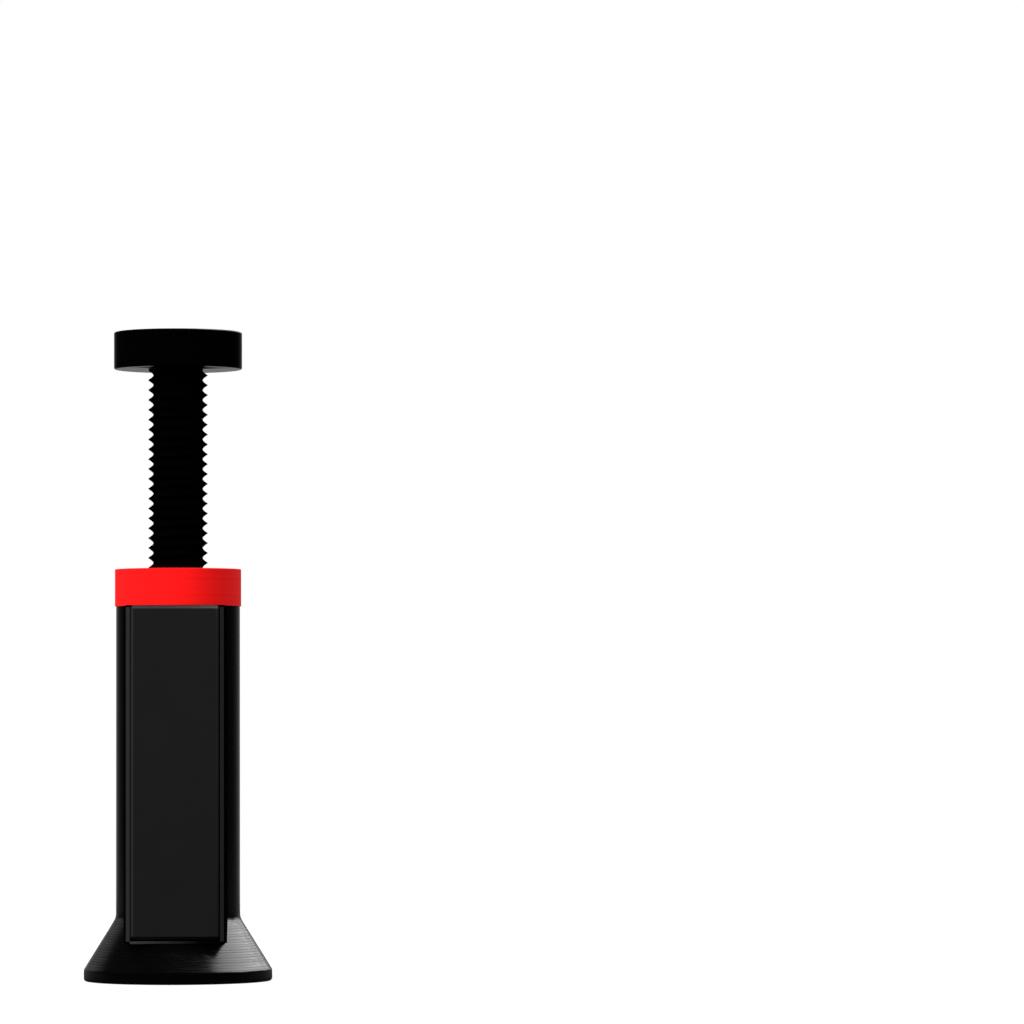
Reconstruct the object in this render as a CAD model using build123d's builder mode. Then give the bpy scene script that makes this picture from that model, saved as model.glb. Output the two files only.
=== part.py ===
from build123d import *
import math
import os

os.makedirs("parts", exist_ok=True)

# A printed screw jack that props up a load from below. A nut on top of the column lifts or
# lowers a screw, and the load rests on its disc head. Millimetres, +Z up, the origin at the
# centre of the foot's underside, the flat boss and its plate facing -Y.

# Foot, flare and column
foot_diameter = 38.0
foot_rim_height = 2.5
foot_lower_bevel = 0.6
foot_upper_radius = 0.5
flare_top = 12.75
flare_blend_radius = 3.0
column_diameter = 25.0
column_top = 75.5

# Flat boss on the front of the column, just proud of the flare at its lower edge
boss_width = 20.4
boss_bottom = 8.0
boss_proud = 0.7
boss_corner_radius = 0.5
boss_edge_bevel = 0.4

# Blank plate, let down from above into a pocket that leaves a narrow frame of the boss on three
# sides, with a gap under the plate to pry it out by
frame_side = 1.25
frame_bottom = 0.5
plate_pry_gap = 0.4
plate_corner_radius = 0.7
plate_thickness = 1.0
plate_proud = 0.2
plate_edge_bevel = 0.6
plate_clearance = 0.1

# Single-start right-hand vee thread with 45 degree flanks, printed in flat facets
thread_diameter = 12.0
thread_pitch = 2.0
thread_depth = 1.0
thread_facets_per_turn = 24
thread_clearance = 0.2
thread_lead_in = 0.2

# Bore that guides the screw, with a bevelled mouth and a closed floor
bore_clearance = 0.35
bore_floor = 12.0
bore_mouth_bevel = 0.6

# Adjusting nut
nut_diameter = 25.5
nut_height = 7.5
nut_edge_bevel = 0.5

# Lifting screw: its disc head, its length under the head, and how far it stands out of the nut
head_overhang = 0.2
head_thickness = 7.5
head_upper_bevel = 0.7
head_lower_bevel = 0.4
screw_length = 70.0
screw_exposed = 40.5
first_crest_drop = 1.2

# Heights and radii that follow from them
nut_top = column_top + nut_height
head_bottom = nut_top + screw_exposed
screw_end = head_bottom - screw_length
flare_slope = (foot_diameter - column_diameter) / 2 / (flare_top - foot_rim_height)
boss_front = column_diameter / 2 + (flare_top - boss_bottom) * flare_slope + boss_proud
pocket_bottom = boss_bottom + frame_bottom
pocket_width = boss_width - 2 * frame_side
pocket_depth = plate_thickness - plate_proud
pocket_corner_radius = plate_corner_radius + plate_clearance
head_radius = nut_diameter / 2 + head_overhang
crest_radius = thread_diameter / 2
thread_lead_in_depth = thread_depth + thread_lead_in
bore_radius = crest_radius + bore_clearance

# A root of the thread crosses the +X side half a pitch below the first crest under the head
thread_datum = head_bottom - first_crest_drop - thread_pitch / 2

# Growing the vee by this radius leaves the thread clearance, square to its flanks
flank_height = thread_pitch / 2
nut_thread_growth = thread_clearance * math.hypot(flank_height, thread_depth) / flank_height


def helix_corners(radius, start, turns):
    """Corners along a right-hand helix that starts on the +X side."""
    rise = thread_pitch / thread_facets_per_turn
    angle = 360 / thread_facets_per_turn
    steps = range(turns * thread_facets_per_turn + 1)
    return [Vector(radius, 0, start + step * rise).rotate(Axis.Z, step * angle) for step in steps]


def flank(lower, upper):
    """The facets between two helices, in pairs of triangles."""
    triangles = []
    for a, b, c, d in zip(lower, lower[1:], upper[1:], upper):
        triangles += [(a, b, c), (a, c, d)]
    return [Face(Wire.make_polygon(corners)) for corners in triangles]


def threaded_rod(outer_radius, bottom, top):
    """A rod with the vee thread in step with the datum, a turn or two longer than bottom to top.

    Each end is closed by a fan from the axis to the last turn of the root, and by one vee.
    """
    first_turn = math.floor((bottom - thread_datum) / thread_pitch) - 1
    turns = math.ceil((top - thread_datum) / thread_pitch) - first_turn
    start = thread_datum + first_turn * thread_pitch
    roots = helix_corners(outer_radius - thread_depth, start, turns + 1)
    crests = helix_corners(outer_radius, start + thread_pitch / 2, turns)
    faces = flank(roots, crests) + flank(crests, roots[thread_facets_per_turn:])
    for end_roots, crest in (
        (roots[: thread_facets_per_turn + 1], crests[0]),
        (roots[-thread_facets_per_turn - 1 :], crests[-1]),
    ):
        on_axis = Vector(0, 0, end_roots[0].Z)
        faces.append(Face(Wire.make_polygon([on_axis, end_roots[0], crest, end_roots[-1]])))
        for a, b in zip(end_roots, end_roots[1:]):
            faces.append(Face(Wire.make_polygon([on_axis, a, b])))
    return Solid(Shell(faces))


def front_outline(distance, width, bottom, top, corner_radius):
    """A rounded rectangle about the middle of the front, at a distance before the axis."""
    with BuildSketch(Plane.XZ.offset(distance)) as outline:
        with Locations((0, (bottom + top) / 2)):
            RectangleRounded(width, top - bottom, corner_radius)
    return outline.sketch


# Base: the boss with its bevelled front edges, then the turned foot, flare and column, then the
# guide bore from the top and the pocket for the plate, which is open at the top
with BuildPart() as base:
    extrude(front_outline(0, boss_width, boss_bottom, column_top, boss_corner_radius), amount=boss_front)
    chamfer(base.faces().sort_by(Axis.Y).first.edges(), length=boss_edge_bevel)
    with BuildSketch(Plane.XZ) as turned_profile:
        with BuildLine():
            Polyline(
                (0, 0),
                (foot_diameter / 2, 0),
                (foot_diameter / 2, foot_rim_height),
                (column_diameter / 2, flare_top),
                (column_diameter / 2, column_top),
                (0, column_top),
                close=True,
            )
        make_face()
        for corner, radius in (
            ((column_diameter / 2, flare_top), flare_blend_radius),
            ((foot_diameter / 2, foot_rim_height), foot_upper_radius),
        ):
            fillet(turned_profile.vertices().sort_by_distance(corner).first, radius=radius)
        foot_corner = turned_profile.vertices().sort_by_distance((foot_diameter / 2, 0)).first
        chamfer(foot_corner, length=foot_lower_bevel)
    revolve(axis=Axis.Z)
    with Locations((0, 0, column_top)):
        CounterSinkHole(
            radius=bore_radius,
            counter_sink_radius=bore_radius + bore_mouth_bevel,
            depth=column_top - bore_floor,
            counter_sink_angle=90,
        )
    pocket = front_outline(
        boss_front, pocket_width, pocket_bottom, column_top + pocket_corner_radius, pocket_corner_radius
    )
    extrude(pocket, amount=-pocket_depth, mode=Mode.SUBTRACT)

# Front plate: lies on the pocket's floor, its front a little proud of the boss
with BuildPart() as front_plate:
    outline = front_outline(
        boss_front - pocket_depth,
        pocket_width - 2 * plate_clearance,
        pocket_bottom + plate_pry_gap,
        column_top - plate_clearance,
        plate_corner_radius,
    )
    extrude(outline, amount=plate_thickness)
    chamfer(front_plate.faces().sort_by(Axis.Y).first.edges(), length=plate_edge_bevel)

# Adjusting nut: a plain ring that rests on the column, threaded through with clearance all
# round the screw's thread, and countersunk at both ends
nut_crest_radius = crest_radius + nut_thread_growth
nut_root_radius = nut_crest_radius - thread_depth
with BuildPart() as adjusting_nut:
    with BuildSketch(Plane.XY.offset(column_top)):
        Circle(nut_diameter / 2)
    extrude(amount=nut_height)
    chamfer(adjusting_nut.edges().filter_by(GeomType.CIRCLE), length=nut_edge_bevel)
    add(threaded_rod(nut_crest_radius, column_top, nut_top), mode=Mode.SUBTRACT)
    for face_height, into_nut in ((column_top, 1), (nut_top, -1)):
        with BuildSketch(Plane((0, 0, face_height), z_dir=(0, 0, into_nut))):
            Circle(nut_root_radius + thread_lead_in_depth)
        extrude(amount=thread_lead_in_depth, taper=45, mode=Mode.SUBTRACT)

# Lifting screw: the disc head that takes the load, in one piece with the threaded shank, whose
# lower end is cut off square and bevelled
with BuildPart() as lift_screw:
    with BuildSketch(Plane.XY.offset(head_bottom)):
        Circle(head_radius)
    extrude(amount=head_thickness)
    head_rims = lift_screw.edges().filter_by(GeomType.CIRCLE).sort_by(Axis.Z)
    chamfer(head_rims.first, length=head_lower_bevel)
    chamfer(head_rims.last, length=head_upper_bevel)
    add(threaded_rod(crest_radius, screw_end, head_bottom))
    with BuildSketch(Plane.XZ):
        with BuildLine():
            Polyline(
                (0, screw_end),
                (crest_radius - thread_lead_in_depth, screw_end),
                (crest_radius + thread_lead_in, screw_end + thread_lead_in_depth + thread_lead_in),
                (crest_radius + thread_lead_in, screw_end - 2 * thread_pitch),
                (0, screw_end - 2 * thread_pitch),
                close=True,
            )
        make_face()
    revolve(axis=Axis.Z, mode=Mode.SUBTRACT)

nodes = {
    "base": base,
    "front_plate": front_plate,
    "adjusting_nut": adjusting_nut,
    "lift_screw": lift_screw,
}
for name, piece in nodes.items():
    piece.part.label = name
    export_step(piece.part, f"parts/{name}.step")
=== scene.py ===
import bmesh
import bpy
import math
from mathutils import Matrix, Vector


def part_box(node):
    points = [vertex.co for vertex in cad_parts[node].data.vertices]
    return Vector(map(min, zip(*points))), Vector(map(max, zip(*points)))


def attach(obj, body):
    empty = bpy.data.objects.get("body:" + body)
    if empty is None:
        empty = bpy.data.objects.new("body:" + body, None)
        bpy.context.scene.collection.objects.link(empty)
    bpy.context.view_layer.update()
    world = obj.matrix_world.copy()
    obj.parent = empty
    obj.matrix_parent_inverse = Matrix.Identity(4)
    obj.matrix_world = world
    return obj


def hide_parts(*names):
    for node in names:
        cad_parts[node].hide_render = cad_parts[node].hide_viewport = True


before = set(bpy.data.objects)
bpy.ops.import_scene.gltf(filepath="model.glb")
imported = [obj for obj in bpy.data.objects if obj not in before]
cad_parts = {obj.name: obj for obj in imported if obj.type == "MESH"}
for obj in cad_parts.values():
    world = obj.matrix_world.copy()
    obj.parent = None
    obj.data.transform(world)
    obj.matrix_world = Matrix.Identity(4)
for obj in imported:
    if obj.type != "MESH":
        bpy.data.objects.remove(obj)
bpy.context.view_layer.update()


# Base: round foot, flare, column and, in front, a flat boss with a pocket for the plate.
# One black plastic print. It was printed standing on its foot, so its walls are a stack of thin
# rounded layers, and the flare is a fine stair. A blind bore down the middle guides the screw.
mm = 0.001
weld = 0.0001 * mm

# Rows of points carry each layer, at these shares of its height
layer_height = 0.25 * mm
layer_rows = (0.12, 0.5, 0.88)

foot_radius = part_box("base")[1][0]
foot_rim_height = 2.3 * mm
foot_lower_radius = 0.6 * mm
foot_upper_blend = 0.08 * mm
flare_top = 12.75 * mm
flare_blend = 0.3 * mm
column_radius = 12.5 * mm
column_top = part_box("base")[1][2]
flare_slope = (foot_radius - column_radius) / (flare_top - foot_rim_height)

boss_half_width = 10.2 * mm
boss_bottom = 8 * mm
boss_proud = 0.7 * mm
boss_front = column_radius + (flare_top - boss_bottom) * flare_slope + boss_proud
boss_wall_start = math.sqrt(column_radius**2 - boss_half_width**2)
boss_corner_radius = 0.5 * mm
boss_edge_bevel = 0.5 * mm

pocket_half_width = 8.98 * mm
pocket_sill = 0.5 * mm
pocket_bottom = boss_bottom + pocket_sill
pocket_depth = 0.8 * mm
pocket_floor = boss_front - pocket_depth

bore_radius = 6.35 * mm
bore_mouth_bevel = 0.6 * mm
bore_floor = 12 * mm

# Points in one slice: round the column, on each half of the boss, and across the pocket's floor
column_points = 76
wall_points = 2
bevel_points = 2
pocket_points = 2
floor_points = 7
front_points = 2 * (wall_points + bevel_points + pocket_points) + floor_points


def edge_drop(distance, radius):
    """How far a rounded edge stands back from its face, at a distance from the edge."""
    inside = min(max(radius - distance, 0), radius)
    return radius - math.sqrt(radius**2 - inside**2)


def turned_radius(height):
    """Radius of the foot, the flare and the column, with both creases of the flare softened."""
    flare = column_radius + (flare_top - height) * flare_slope
    radius = (column_radius + flare + math.hypot(column_radius - flare, flare_blend)) / 2
    radius = (foot_radius + radius - math.hypot(foot_radius - radius, foot_upper_blend)) / 2
    return radius - edge_drop(height, foot_lower_radius)


def on_circle(radius, angles):
    """Points on a circle about the axis, at angles from the front."""
    return [(radius * math.sin(angle), -radius * math.cos(angle)) for angle in angles]


def base_outline(height):
    """One slice through the base: most of a circle, closed by the boss or by the rest of it."""
    radius = turned_radius(height)
    from_end = max(min(height - boss_bottom, column_top - height), 0)
    half_width = boss_half_width - edge_drop(from_end, boss_corner_radius)
    front = boss_front - max(boss_edge_bevel - from_end, 0)
    meeting = math.asin(half_width / radius)
    step = 2 * (math.pi - meeting) / (column_points - 1)
    angles = [meeting + step * i for i in range(column_points)]
    if height < boss_bottom:
        step = 2 * meeting / (front_points + 1)
        angles += [step * (i + 1) - meeting for i in range(front_points)]
        return on_circle(radius, angles)
    floor = pocket_floor if height > pocket_bottom else front
    wall_back = radius * math.cos(meeting)
    wall_length = front - boss_edge_bevel - wall_back
    half = [(half_width, wall_back + wall_length * (i + 1) / (wall_points + 1)) for i in range(wall_points)]
    half += [(half_width, front - boss_edge_bevel), (half_width - boss_edge_bevel, front)]
    half += [(pocket_half_width, front), (pocket_half_width, floor)]
    step = 2 * pocket_half_width / (floor_points + 1)
    middle = [(step * (i + 1) - pocket_half_width, -floor) for i in range(floor_points)]
    left = [(-x, -y) for x, y in half]
    right = [(x, -y) for x, y in reversed(half)]
    return on_circle(radius, angles) + left + middle + right


def layer_heights(bottom, top):
    """Heights of the rows that carry the layers of a printed wall, with both its ends."""
    first = round(bottom / layer_height)
    last = round(top / layer_height)
    inner = [(layer + row) * layer_height for layer in range(first, last) for row in layer_rows]
    return [bottom] + inner + [top]


def skin(name, rows, ring=False):
    """A mesh over rows of points, each joined to the next, and the last to the first in a ring."""
    count = len(rows[0])
    points = [point for row in rows for point in row]
    followers = list(range(1, len(rows)))
    if ring:
        followers.append(0)
    faces = []
    for row, follower in enumerate(followers):
        for i in range(count):
            j = (i + 1) % count
            faces.append((row * count + i, row * count + j, follower * count + j, follower * count + i))
    mesh = bpy.data.meshes.new(name)
    mesh.from_pydata(points, [], faces)
    work = bmesh.new()
    work.from_mesh(mesh)
    bmesh.ops.remove_doubles(work, verts=work.verts, dist=weld)
    bmesh.ops.recalc_face_normals(work, faces=work.faces)
    work.to_mesh(mesh)
    work.free()
    return mesh


def mark(mesh, name, chosen):
    """Mark the points of a mesh that are chosen by their place."""
    marks = mesh.attributes.new(name, "BOOLEAN", "POINT")
    for point, made in zip(mesh.vertices, marks.data):
        made.value = chosen(point.co)


def new_object(name, data):
    """An object in the scene, at the origin."""
    made = bpy.data.objects.new(name, data)
    bpy.context.scene.collection.objects.link(made)
    return made


class Link:
    """An output of a node. Sums written with it add Math nodes, and node() adds any other node."""

    def __init__(self, tree, socket=None):
        self.tree = tree
        self.socket = socket

    def node(self, kind, inputs=None, settings=None, output=0):
        """A new node with its settings, then the values or links of its inputs."""
        made = self.tree.nodes.new(kind)
        for name, value in (settings or {}).items():
            setattr(made, name, value)
        for key, value in (inputs or {}).items():
            if isinstance(value, Link):
                self.tree.links.new(value.socket, made.inputs[key])
            else:
                made.inputs[key].default_value = value
        return Link(self.tree, made.outputs[output] if made.outputs else None)

    def output(self, name):
        """Another output of the same node."""
        return Link(self.tree, self.socket.node.outputs[name])

    def into(self, socket):
        """Feed an input of a node that is already there."""
        self.tree.links.new(self.socket, socket)

    def maths(self, operation, *values):
        """A Math node on this output and more values or links."""
        return self.node("ShaderNodeMath", dict(enumerate((self, *values))), {"operation": operation})

    def clamp(self, low, high):
        """The same value, held between two limits."""
        return self.maths("MINIMUM", high).maths("MAXIMUM", low)

    def __add__(self, other):
        return self.maths("ADD", other)

    __radd__ = __add__

    def __mul__(self, other):
        return self.maths("MULTIPLY", other)

    __rmul__ = __mul__

    def __sub__(self, other):
        return self.maths("SUBTRACT", other)

    def __rsub__(self, other):
        return self * -1 + other

    def __truediv__(self, other):
        return self.maths("DIVIDE", other)

    def __pow__(self, other):
        return self.maths("POWER", other)

    def __abs__(self):
        return self.maths("ABSOLUTE")


def new_tree(name, sizes):
    """A geometry tree with a geometry and a material socket, and one socket for each of its sizes."""
    tree = bpy.data.node_groups.new(name, "GeometryNodeTree")
    tree.interface.new_socket("Geometry", in_out="OUTPUT", socket_type="NodeSocketGeometry")
    tree.interface.new_socket("Geometry", in_out="INPUT", socket_type="NodeSocketGeometry")
    tree.interface.new_socket("Material", in_out="INPUT", socket_type="NodeSocketMaterial")
    for size in sizes:
        tree.interface.new_socket(size, in_out="INPUT", socket_type="NodeSocketFloat")
    return Link(tree).node("NodeGroupInput", output="Geometry")


def end_tree(given, geometry):
    """Realize Instances, Set Material and the tree's output."""
    whole = geometry.node("GeometryNodeRealizeInstances", {"Geometry": geometry})
    inputs = {"Geometry": whole, "Material": given.output("Material")}
    painted = whole.node("GeometryNodeSetMaterial", inputs)
    painted.node("NodeGroupOutput", {"Geometry": painted})
    return given.tree


def apply_tree(mesh, tree, material, sizes):
    """Run a tree on a mesh and give back the plain mesh that it makes."""
    piece = new_object(mesh.name, mesh)
    modifier = piece.modifiers.new(tree.name, "NODES")
    modifier.node_group = tree
    values = sizes | {"Material": material}
    for socket in tree.interface.items_tree:
        if socket.in_out == "INPUT" and socket.name in values:
            modifier[socket.identifier] = values[socket.name]
    evaluated = piece.evaluated_get(bpy.context.evaluated_depsgraph_get())
    made = bpy.data.meshes.new_from_object(evaluated)
    bpy.data.objects.remove(piece)
    return made


def layers_tree():
    """Lays a wall in layers. Each has a rounded edge, and on a slope they make a stair.

    Each layer also stands a little in or out at random, most of all on a slope. Level faces and the
    points that are marked plain stay where they are.
    """
    # A layer's edge, half a layer from its middle, lies one bead depth back
    bead_curve = -4
    # A wall drifts by this share. Steepness is 1 on a wall and 0 on a level face
    wall_drift = 0.05
    wall_steepness = 0.5
    least_steepness = 0.3
    slope_limit = 0.8
    given = new_tree("printed_layers", ("Layer height", "Bead depth", "Stair", "Drift", "Seed"))
    position = given.node("GeometryNodeInputPosition")
    height = position.node("ShaderNodeSeparateXYZ", {"Vector": position}, output="Z")
    layers = height / given.output("Layer height")
    layer = layers.maths("FLOOR")
    across = layers - layer - 0.5
    bead = across * across * given.output("Bead depth") * bead_curve
    # The node's second output is the random number, its first a random vector
    single = layer.node("FunctionNodeRandomValue", {"ID": layer, "Seed": given.output("Seed")}, output=1)
    drift = (single * 2 - 1) * given.output("Drift")
    normal = given.node("GeometryNodeInputNormal")
    rise = normal.node("ShaderNodeSeparateXYZ", {"Vector": normal}, output="Z")
    level = normal.node("ShaderNodeVectorMath", {0: normal, 1: (1, 1, 0)}, {"operation": "MULTIPLY"})
    steepness = level.node("ShaderNodeVectorMath", {0: level}, {"operation": "LENGTH"}, output="Value")
    slope = (rise / steepness.maths("MAXIMUM", least_steepness)).clamp(-slope_limit, slope_limit)
    stair = across * given.output("Layer height") * slope * given.output("Stair")
    uneven = drift * (abs(slope) + wall_drift)
    outward = level.node("ShaderNodeVectorMath", {0: level}, {"operation": "NORMALIZE"})
    moved = outward.node(
        "ShaderNodeVectorMath", {0: outward, "Scale": bead + uneven + stair}, {"operation": "SCALE"}
    )
    plain = given.node("GeometryNodeInputNamedAttribute", {"Name": "plain"}, {"data_type": "BOOLEAN"})
    upright = steepness.maths("GREATER_THAN", wall_steepness) * (1 - plain)
    laid = given.node("GeometryNodeSetPosition", {"Geometry": given, "Selection": upright, "Offset": moved})
    return end_tree(given, laid)


def shade(mesh, angle):
    """Smooth shading, with a crease wherever two faces meet at more than the angle."""
    mesh.shade_smooth()
    mesh.set_sharp_from_angle(angle=math.radians(angle))


def grey(level):
    """A grey, as a colour input takes it."""
    return (level, level, level, 1)


def blend(factor, first, second):
    """A colour between two others. The Mix node's colours are its sockets 6 and 7, its result is 2."""
    return factor.node("ShaderNodeMix", {0: factor, 6: first, 7: second}, {"data_type": "RGBA"}, output=2)


def noise(place, scale, detail):
    """A smooth random value over a place."""
    inputs = {"Vector": place, "Scale": scale, "Detail": detail}
    return place.node("ShaderNodeTexNoise", inputs, output="Fac")


def printed_plastic(
    name, colour, wall_roughness, slope_roughness, streaks, specular, bump=0.6, brushed=0.0, coat=0.0
):
    """Printed plastic, in which each layer has its own tone. It can be brushed along the layers.

    On a slope every other layer shines more, and so do patches along each. A slope that looks up has
    the coat as well, and a level face shows the lines in which it was laid.
    """
    tone_step = 0.37
    tone_spread = 0.25
    patch_step = 7.3
    patches_per_metre = 60
    patch_share = 0.35
    even_share = 0.2
    full_slope = 0.5
    coat_contrast = 3
    coat_rise = 0.2
    grains_per_metre = 2500.0
    level_rise = 0.95
    line_spacing = 0.6 * mm
    line_share = 0.5
    grain_share = 0.4
    bump_depth = 0.04 * mm
    quarter_turn = 0.25
    material = bpy.data.materials.new(name)
    material.use_nodes = True
    shader = material.node_tree.nodes["Principled BSDF"]
    shader.inputs["Specular IOR Level"].default_value = specular
    shader.inputs["Anisotropic"].default_value = brushed
    shader.inputs["Anisotropic Rotation"].default_value = quarter_turn
    shader.inputs["Coat Roughness"].default_value = slope_roughness
    place = Link(material.node_tree).node("ShaderNodeTexCoord", output="Object")
    x = place.node("ShaderNodeSeparateXYZ", {"Vector": place}, output="X")
    y = x.output("Y")
    layer = (x.output("Z") / layer_height).maths("FLOOR")
    facing = place.output("Normal")
    rise = facing.node("ShaderNodeSeparateXYZ", {"Vector": facing}, output="Z")
    slope = (abs(rise) / full_slope).maths("MINIMUM", 1)

    spot = place.node("ShaderNodeCombineXYZ", {"X": x, "Y": y, "Z": layer * tone_step})
    tone = noise(spot, scale=1.0, detail=3.0)
    darker = [channel * (1 - tone_spread) for channel in colour] + [1]
    lighter = [channel * (1 + tone_spread) for channel in colour] + [1]
    blend(tone, darker, lighter).into(shader.inputs["Base Color"])

    parts = {"X": x * patches_per_metre, "Y": y * patches_per_metre, "Z": layer * patch_step}
    along = place.node("ShaderNodeCombineXYZ", parts)
    patchy = noise(along, scale=1.0, detail=1.0)
    even = (layer / 2).maths("FRACT") * 2
    sheen = 0.5 + (patchy - 0.5) * patch_share + (even - 0.5) * even_share
    roughness = wall_roughness + slope * (slope_roughness - wall_roughness)
    (roughness + (0.5 - sheen) * slope * streaks).into(shader.inputs["Roughness"])
    shining = (sheen * coat_contrast - 1).maths("MAXIMUM", 0)
    facing_up = (rise - coat_rise).maths("MAXIMUM", 0)
    (shining * facing_up * coat).into(shader.inputs["Coat Weight"])

    grain = noise(place, grains_per_metre, detail=2.0)
    laid_lines = ((x + y) * (2 * math.pi / line_spacing)).maths("SINE")
    level = abs(rise).maths("GREATER_THAN", level_rise)
    relief = grain * grain_share + laid_lines * level * line_share
    surface = relief.node("ShaderNodeBump", {"Height": relief, "Distance": bump_depth, "Strength": bump})
    surface.into(shader.inputs["Normal"])
    return material


def make_dull(part, colour):
    """Dull plastic of a colour in place of the gloss, over part of the surface."""
    nodes = part.tree.nodes
    finish = {"Base Color": colour, "Roughness": 1.0, "Specular IOR Level": 0.0}
    dull = part.node("ShaderNodeBsdfPrincipled", finish)
    shiny = Link(part.tree, nodes["Principled BSDF"].outputs["BSDF"])
    surface = part.node("ShaderNodeMixShader", {0: part, 1: shiny, 2: dull})
    surface.into(nodes["Material Output"].inputs["Surface"])


def finish_boss(material):
    """The boss is dull. Its front face is painted a dark grey as painted light, paler to the left where the
    light comes from, with a painted highlight on its sill.
    """
    boss_black = grey(0.0006)
    # Painted light on the boss's front face, paler to the left where the light comes from
    painted_light_left = grey(0.022)
    painted_light_right = grey(0.011)
    # A painted highlight along the sill, pale at its left end and fading out towards the right
    sill_highlight_left = grey(0.15)
    sill_highlight_right = grey(0.004)
    sill_fade = 1.35
    strip_reach = 0.1
    mask_margin = 0.025 * mm
    place = Link(material.node_tree).node("ShaderNodeTexCoord", output="Object")
    x = place.node("ShaderNodeSeparateXYZ", {"Vector": place}, output="X")
    forward = x.output("Y") * -1
    height = x.output("Z")
    beside = abs(x).maths("LESS_THAN", boss_half_width + mask_margin)
    before = forward.maths("GREATER_THAN", boss_wall_start)
    boss = beside * before * height.maths("GREATER_THAN", boss_bottom)
    sill = height.maths("LESS_THAN", pocket_bottom) * abs(x).maths("LESS_THAN", pocket_half_width)
    reach = sill * (1 - strip_reach) + strip_reach
    # Where the painted light goes: the front face, and on the sill its bevel as well
    painted_front = forward.maths("GREATER_THAN", boss_front - boss_edge_bevel * reach)
    across = x / (2 * boss_half_width) + 0.5
    strip = blend(across, painted_light_left, painted_light_right)
    front = blend(sill, strip, blend(across * sill_fade, sill_highlight_left, sill_highlight_right))
    make_dull(boss, blend(painted_front, boss_black, front))


def on_boss_wall(place):
    """Whether a point is on a side wall of the boss, which is too narrow to be laid in layers."""
    beside = boss_half_width - boss_corner_radius - weld < abs(place.x) < boss_half_width + weld
    return beside and place.y < 0 and place.z > boss_bottom - weld


base_black = printed_plastic(
    "printed_black",
    colour=(0.0006, 0.0006, 0.0006),
    wall_roughness=0.14,
    slope_roughness=0.26,
    streaks=0.4,
    specular=0.42,
    brushed=0.7,
    coat=1.6,
)
finish_boss(base_black)

# The skin runs from the middle of the underside up the walls, over the top and down the bore
slices = [(height, base_outline(height)) for height in layer_heights(0, column_top)]
top_outline = slices[-1][1]
behind_plate = [(x, max(y, -pocket_floor)) for x, y in top_outline]
spokes = [Vector(point).normalized() for point in behind_plate]
bore_profile = (
    (bore_radius + bore_mouth_bevel, column_top),
    (bore_radius, column_top - bore_mouth_bevel),
    (bore_radius, bore_floor),
    (0, bore_floor),
)
rows = [[(0, 0, 0)] * len(spokes)]
rows += [[(x, y, height) for x, y in outline] for height, outline in slices]
rows.append([(x, y, column_top) for x, y in behind_plate])
rows += [[(radius * x, radius * y, height) for x, y in spokes] for radius, height in bore_profile]

printed_layers = layers_tree()
layer_sizes = {
    "Layer height": layer_height,
    "Bead depth": 0.006 * mm,
    "Stair": 0.15,
    "Drift": 0.012 * mm,
    "Seed": 4,
}
base_mesh = skin("base_print", rows)
mark(base_mesh, "plain", on_boss_wall)
base_mesh = apply_tree(base_mesh, printed_layers, base_black, layer_sizes)
shade(base_mesh, angle=30)
base = new_object("base_print", base_mesh)
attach(base, "base")
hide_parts("base")


# Front plate: a thin smooth plate of matte dark grey plastic, let into the boss's pocket.
# Its front edges are bevelled, and its face is left blank.
plate_low, plate_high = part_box("front_plate")
plate_back = plate_high[1]
plate_front = plate_low[1]
plate_middle_height = (plate_low[2] + plate_high[2]) / 2
plate_corner_radius = 0.7 * mm
plate_corner_points = 6
plate_edge_bevel = 0.6 * mm
plate_off_centre = -0.06 * mm


def plate_outline(inset):
    """The plate's rounded rectangle, set in from its edge."""
    radius = plate_corner_radius - inset
    outline = []
    for quarter in range(4):
        side = plate_high[0] if quarter in (0, 3) else plate_low[0]
        centre_x = side - math.copysign(plate_corner_radius, side)
        centre_z = plate_low[2] + plate_corner_radius
        if quarter in (0, 1):
            centre_z = plate_high[2] - plate_corner_radius
        for i in range(plate_corner_points):
            angle = math.pi / 2 * (quarter + i / (plate_corner_points - 1))
            outline.append((centre_x + radius * math.cos(angle), centre_z + radius * math.sin(angle)))
    return outline


def matte_plate():
    """Smooth moulded plastic with a faint eggshell grain. Its side and top bevels have a painted highlight,
    and its lowest bevel has painted shade.
    """
    face_darker = grey(0.0079)
    face_lighter = grey(0.0098)
    # A painted highlight on the side and top bevels, and painted shade on the lowest bevel, which faces
    # down
    edge_highlight = grey(0.018)
    edge_shade = grey(0.004)
    least_roughness = 0.5
    roughness_spread = 0.12
    clouds_per_metre = 120.0
    grains_per_metre = 4000.0
    grain_depth = 0.01 * mm
    material = bpy.data.materials.new("matte_plate")
    material.use_nodes = True
    shader = material.node_tree.nodes["Principled BSDF"]
    shader.inputs["Specular IOR Level"].default_value = 0.3
    place = Link(material.node_tree).node("ShaderNodeTexCoord", output="Object")
    x = place.node("ShaderNodeSeparateXYZ", {"Vector": place}, output="X")
    height = x.output("Z")
    cloud = noise(place, clouds_per_metre, detail=3.0)
    (cloud * roughness_spread + least_roughness).into(shader.inputs["Roughness"])
    from_side = plate_high[0] - abs(x - plate_off_centre)
    from_top = plate_high[2] - height
    # Which bevels get the painted highlight, and which gets the painted shade
    on_highlit_edge = from_side.maths("MINIMUM", from_top).maths("LESS_THAN", plate_edge_bevel)
    on_shaded_edge = height.maths("LESS_THAN", plate_low[2] + plate_edge_bevel)
    edged = blend(on_highlit_edge, blend(cloud, face_darker, face_lighter), edge_highlight)
    blend(on_shaded_edge, edged, edge_shade).into(shader.inputs["Base Color"])
    grain = noise(place, grains_per_metre, detail=1.0)
    surface = grain.node("ShaderNodeBump", {"Height": grain, "Distance": grain_depth, "Strength": 0.4})
    surface.into(shader.inputs["Normal"])
    return material


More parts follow.
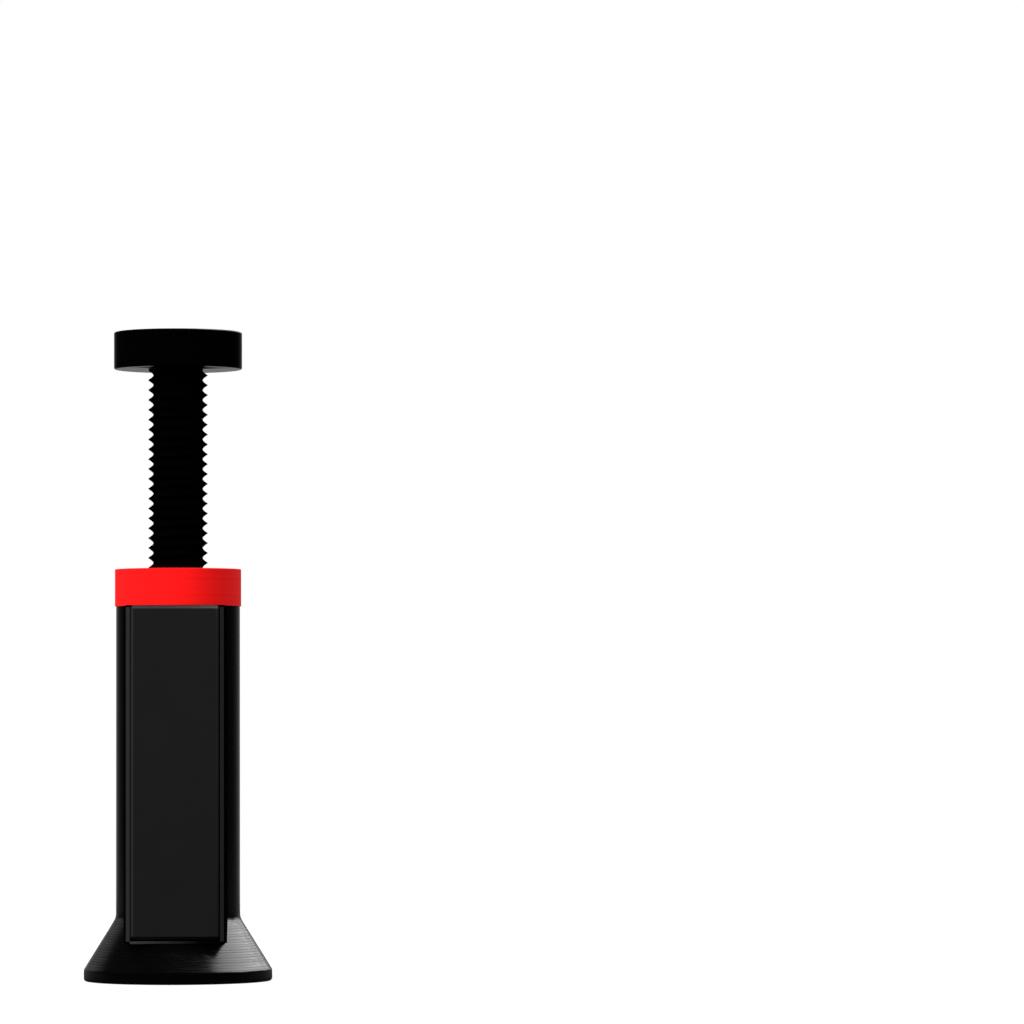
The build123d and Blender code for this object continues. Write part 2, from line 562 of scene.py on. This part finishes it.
plate_rows = [(plate_back, 0), (plate_front + plate_edge_bevel, 0), (plate_front, plate_edge_bevel)]
rows = [[(x + plate_off_centre, y, z) for x, z in plate_outline(inset)] for y, inset in plate_rows]
rows.insert(0, [(0, plate_back, plate_middle_height)] * len(rows[0]))
rows.append([(0, plate_front, plate_middle_height)] * len(rows[0]))
plate_mesh = skin("blank_plate", rows)
shade(plate_mesh, angle=30)
plate_mesh.materials.append(matte_plate())
plate = new_object("blank_plate", plate_mesh)
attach(plate, "base")
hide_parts("front_plate")


# Adjusting nut: a plain bright red ring that rests on the column and is turned by its rim.
# Printed flat in plastic, with a thread through it that is a little wider than the screw's.
nut_low, nut_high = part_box("adjusting_nut")
nut_radius = nut_high[0]
nut_bottom = nut_low[2]
nut_top = nut_high[2]
nut_lower_radius = 0.05 * mm
nut_upper_radius = 0.15 * mm
turned_points = 96
level_row = 0.05 * mm

# The vee's crest and root are cut flat by a share of its height, and its flanks are hollow
head_bottom = 123.5 * mm
thread_pitch = 2 * mm
thread_depth = 1 * mm
thread_crest_radius = 6 * mm
thread_flat = 0.05
thread_hollow = 1.5
thread_row = thread_pitch / 20
first_crest_drop = 1.2 * mm
thread_datum = head_bottom - first_crest_drop - thread_pitch / 2

# Growing the nut's thread by this radius leaves 0.2 mm between the threads, square to their flanks
thread_growth = 0.283 * mm
nut_crest_radius = thread_crest_radius + thread_growth
nut_root_radius = nut_crest_radius - thread_depth
lead_in = 1.2 * mm


def ring_row(radius, height):
    """One row of points around the axis."""
    angles = [2 * math.pi * i / turned_points for i in range(turned_points)]
    return [(radius * math.cos(angle), radius * math.sin(angle), height) for angle in angles]


def printed_wall(radius, bottom, top, lower_edge, upper_edge):
    """Rows up a round wall with rounded edges, fine enough to carry its layers.

    A narrow level row at each end keeps the shading of the rounded edge off the flat face.
    """
    rows = [ring_row(radius - lower_edge - level_row, bottom)]
    for height in layer_heights(bottom, top):
        drop = edge_drop(height - bottom, lower_edge) + edge_drop(top - height, upper_edge)
        rows.append(ring_row(radius - drop, height))
    rows.append(ring_row(radius - upper_edge - level_row, top))
    return rows


def thread_heights(bottom, top):
    """Heights of the rows that carry a thread, with both its ends."""
    count = math.ceil((top - bottom) / thread_row)
    return [bottom + (top - bottom) * i / count for i in range(count + 1)]


def thread_tree(name, limit):
    """Cuts a right-hand vee thread into the rows marked threaded, where they pass the given limit."""
    given = new_tree(name, ("Pitch", "Depth", "Crest radius", "Datum", "Flat", "Hollow"))
    position = given.node("GeometryNodeInputPosition")
    x = position.node("ShaderNodeSeparateXYZ", {"Vector": position}, output="X")
    y = x.output("Y")
    height = x.output("Z")
    turns = (height - given.output("Datum")) / given.output("Pitch") - y.maths("ARCTAN2", x) / (2 * math.pi)
    vee = 1 - abs(turns.maths("FRACT") * 2 - 1)
    flat = given.output("Flat")
    flank = ((vee - flat) / (1 - flat * 2)).clamp(0, 1)
    cut = given.output("Crest radius") - (1 - flank ** given.output("Hollow")) * given.output("Depth")
    radius = (x * x + y * y) ** 0.5
    share = radius.maths(limit, cut) / radius
    placed = x.node("ShaderNodeCombineXYZ", {"X": x * share, "Y": y * share, "Z": height})
    marked = given.node("GeometryNodeInputNamedAttribute", {"Name": "threaded"}, {"data_type": "BOOLEAN"})
    inputs = {"Geometry": given, "Selection": marked, "Position": placed}
    return end_tree(given, given.node("GeometryNodeSetPosition", inputs))


def on_nut_thread(place):
    """Whether a point is on the nut's inner wall."""
    return place.xy.length < nut_root_radius + lead_in + weld


nut_red = printed_plastic(
    "printed_red",
    colour=(0.85, 0.0078, 0.0078),
    wall_roughness=0.5,
    slope_roughness=0.5,
    streaks=0.2,
    specular=0.02,
)
rows = printed_wall(nut_radius, nut_bottom, nut_top, nut_lower_radius, nut_upper_radius)
for height in reversed(thread_heights(nut_bottom, nut_top)):
    from_face = min(height - nut_bottom, nut_top - height)
    rows.append(ring_row(nut_root_radius + max(lead_in - from_face, 0), height))
nut_mesh = skin("nut_print", rows, ring=True)
mark(nut_mesh, "threaded", on_nut_thread)
thread_sizes = {
    "Pitch": thread_pitch,
    "Depth": thread_depth,
    "Datum": thread_datum,
    "Flat": thread_flat,
    "Hollow": thread_hollow,
}
nut_thread = thread_tree("inner_thread", "MAXIMUM")
nut_mesh = apply_tree(nut_mesh, nut_thread, nut_red, thread_sizes | {"Crest radius": nut_crest_radius})
nut_mesh = apply_tree(nut_mesh, printed_layers, nut_red, layer_sizes | {"Seed": 11})
shade(nut_mesh, angle=50)
nut = new_object("nut_print", nut_mesh)
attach(nut, "nut")
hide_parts("adjusting_nut")


# Lifting screw: a disc head that takes the load, in one print with its threaded shank.
# Plain black plastic. The shank goes down through the nut and slides in the base's bore.
screw_low, screw_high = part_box("lift_screw")
screw_end = screw_low[2]
head_radius = screw_high[0]
head_top = screw_high[2]
head_upper_radius = 0.3 * mm
head_lower_radius = 0.3 * mm


def on_screw_thread(place):
    """Whether a point is on the screw's shank."""
    return place.xy.length < thread_crest_radius + weld and place.z < head_bottom + weld


def finish_thread(material):
    """The thread is dull, with no gloss of its own."""
    thread_black = grey(0.0004)
    mask_margin = 0.05 * mm
    place = Link(material.node_tree).node("ShaderNodeTexCoord", output="Object")
    level = place.node("ShaderNodeVectorMath", {0: place, 1: (1, 1, 0)}, {"operation": "MULTIPLY"})
    from_axis = level.node("ShaderNodeVectorMath", {0: level}, {"operation": "LENGTH"}, output="Value")
    height = place.node("ShaderNodeSeparateXYZ", {"Vector": place}, output="Z")
    inside = from_axis.maths("LESS_THAN", thread_crest_radius + mask_margin)
    make_dull(inside * height.maths("LESS_THAN", head_bottom), thread_black)


screw_black = printed_plastic(
    "deep_black",
    colour=(0.0004, 0.0004, 0.0004),
    wall_roughness=0.12,
    slope_roughness=0.12,
    streaks=0.1,
    specular=0.015,
    bump=0.1,
    coat=0.8,
)
finish_thread(screw_black)
rows = [ring_row(0, screw_end)]
for height in thread_heights(screw_end, head_bottom):
    led_in = thread_crest_radius - lead_in + height - screw_end
    rows.append(ring_row(min(led_in, thread_crest_radius), height))
rows += printed_wall(head_radius, head_bottom, head_top, head_lower_radius, head_upper_radius)
rows.append(ring_row(0, head_top))
screw_mesh = skin("screw_print", rows)
mark(screw_mesh, "threaded", on_screw_thread)
screw_thread = thread_tree("outer_thread", "MINIMUM")
screw_sizes = thread_sizes | {"Crest radius": thread_crest_radius}
screw_mesh = apply_tree(screw_mesh, screw_thread, screw_black, screw_sizes)
shade(screw_mesh, angle=50)
screw = new_object("screw_print", screw_mesh)
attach(screw, "screw")
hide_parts("lift_screw")


# Floor: a wide board that takes the object's shadow and that the camera sees as white.
# All other rays see it dim, and a little paler behind the object than before it.
floor_half = 0.4
floor_shadow = 0.25
floor_white = grey(0.9)
floor_dim_front = grey(0.005)
floor_dim_rear = grey(0.055)
floor_fade = 20 * mm

floor_mesh = bpy.data.meshes.new("floor")
corners = [(-floor_half, -floor_half, 0), (floor_half, -floor_half, 0)]
corners += [(floor_half, floor_half, 0), (-floor_half, floor_half, 0)]
floor_mesh.from_pydata(corners, [], [(0, 1, 2, 3)])
floor = new_object("floor", floor_mesh)

floor_board = bpy.data.materials.new("floor_white")
floor_board.use_nodes = True
floor_board.node_tree.nodes.clear()
start = Link(floor_board.node_tree)
ray = start.node("ShaderNodeLightPath", output="Is Camera Ray")
seen = ray.maths("MAXIMUM", ray.output("Is Transmission Ray"))
place = start.node("ShaderNodeTexCoord", output="Object")
y = place.node("ShaderNodeSeparateXYZ", {"Vector": place}, output="Y")
rear = (y / (2 * floor_fade) + 0.5).clamp(0, 1)
dim = start.node("ShaderNodeBsdfDiffuse", {"Color": blend(rear, floor_dim_front, floor_dim_rear)})
lit = start.node("ShaderNodeBsdfDiffuse", {"Color": floor_white})
glow = start.node("ShaderNodeEmission", {"Color": grey(1), "Strength": 1.0})
shown = start.node("ShaderNodeMixShader", {0: floor_shadow, 1: glow, 2: lit})
surface = start.node("ShaderNodeMixShader", {0: seen, 1: dim, 2: shown})
start.node("ShaderNodeOutputMaterial", {"Surface": surface})
floor_mesh.materials.append(floor_board)


# Surroundings: an even white studio, which is the background and fills the shadows with light.
# Gloss sees a dark room instead, with a pale wall behind the object that is paler near the ground.
wall_pale = 0.28
wall_low_paler = 0.1
wall_low_from = -0.03
wall_narrowing = 6
room_dark = 0.005

world = bpy.data.worlds.new("white_studio")
bpy.context.scene.world = world
world.use_nodes = True
world.node_tree.nodes.clear()
start = Link(world.node_tree)
ray = start.node("ShaderNodeLightPath", output="Is Camera Ray")
seen = ray.maths("MAXIMUM", ray.output("Is Transmission Ray"))
direction = start.node("ShaderNodeTexCoord", output="Generated")
behind = direction.node("ShaderNodeSeparateXYZ", {"Vector": direction}, output="Y")
below = behind.output("Z").maths("LESS_THAN", wall_low_from)
wall = behind.maths("MAXIMUM", 0) ** wall_narrowing * (wall_pale + below * wall_low_paler) + room_dark
fill = 1.0 + ray.output("Is Glossy Ray") * (wall - 1.0)
sky = start.node("ShaderNodeBackground", {"Color": grey(1), "Strength": fill + seen * (1 - fill)})
start.node("ShaderNodeOutputWorld", {"Surface": sky})


# Lights: two soft boxes to the right and behind that only show in the gloss, a weak one to the left
# behind, one above, and one at the upper left in front that doesn't show in the gloss.
def soft_box(name, place, aim, width, height, radiance, in_gloss=True, on_matte=True):
    """A rectangular lamp that faces its aim, as bright as a panel of that radiance."""
    light = bpy.data.lights.new(name, "AREA")
    light.shape = "RECTANGLE"
    light.size = width
    light.size_y = height
    light.energy = radiance * math.pi * width * height
    box = new_object(name, light)
    box.location = place
    box.rotation_euler = (Vector(aim) - Vector(place)).to_track_quat("-Z", "Y").to_euler()
    box.visible_camera = False
    box.visible_glossy = in_gloss
    box.visible_diffuse = on_matte


flare_middle = (0, 0, 0.03)
column_upper = (0, 0, 0.07)
soft_box("right_box", (0.9, 0.5, 1.1), flare_middle, width=1.7, height=1.2, radiance=4.1, on_matte=False)
soft_box(
    "back_right_box", (0.66, 1.26, 0.5), flare_middle, width=0.9, height=0.42, radiance=1.5, on_matte=False
)
soft_box("back_left_box", (-0.95, 0.97, 0.54), flare_middle, width=0.6, height=0.58, radiance=0.18)
soft_box("top_box", (0.1, 0.2, 0.7), (0.1, 0.2, 0), width=0.4, height=0.5, radiance=4.0)
soft_box(
    "front_box", (-0.55, -0.52, 0.45), column_upper, width=0.4, height=0.4, radiance=16.5, in_gloss=False
)


# Camera: at the height of the column's upper half and a little to its right, with a long lens,
# aimed so that the object stands at the left of the picture with its axis upright.
picture_size = 1024
axis_column = 178.1
horizon_row = 710.8
focal_pixels = 5527
camera_distance = 1120 * mm
camera_height = 54.4 * mm
camera_round = math.radians(2.25)

toward = Vector((-math.sin(camera_round), math.cos(camera_round), 0))
sideways = Vector((math.cos(camera_round), math.sin(camera_round), 0))
upward = Vector((0, 0, 1))
swing = math.atan((picture_size / 2 - axis_column) / focal_pixels)
tilt = math.atan((horizon_row - picture_size / 2) / focal_pixels * math.cos(swing))
ahead = toward * math.cos(tilt) + upward * math.sin(tilt)
camera_up = upward * math.cos(tilt) - toward * math.sin(tilt)
camera_right = sideways * math.cos(swing) - ahead * math.sin(swing)
camera_back = -(ahead * math.cos(swing) + sideways * math.sin(swing))
lens = bpy.data.cameras.new("camera")
lens.sensor_width = 36
lens.lens = focal_pixels / picture_size * lens.sensor_width
camera = new_object("camera", lens)
camera.location = -toward * camera_distance + upward * camera_height
camera.rotation_euler = Matrix((camera_right, camera_up, camera_back)).transposed().to_euler()
bpy.context.scene.camera = camera
bpy.context.scene.view_settings.view_transform = "Standard"
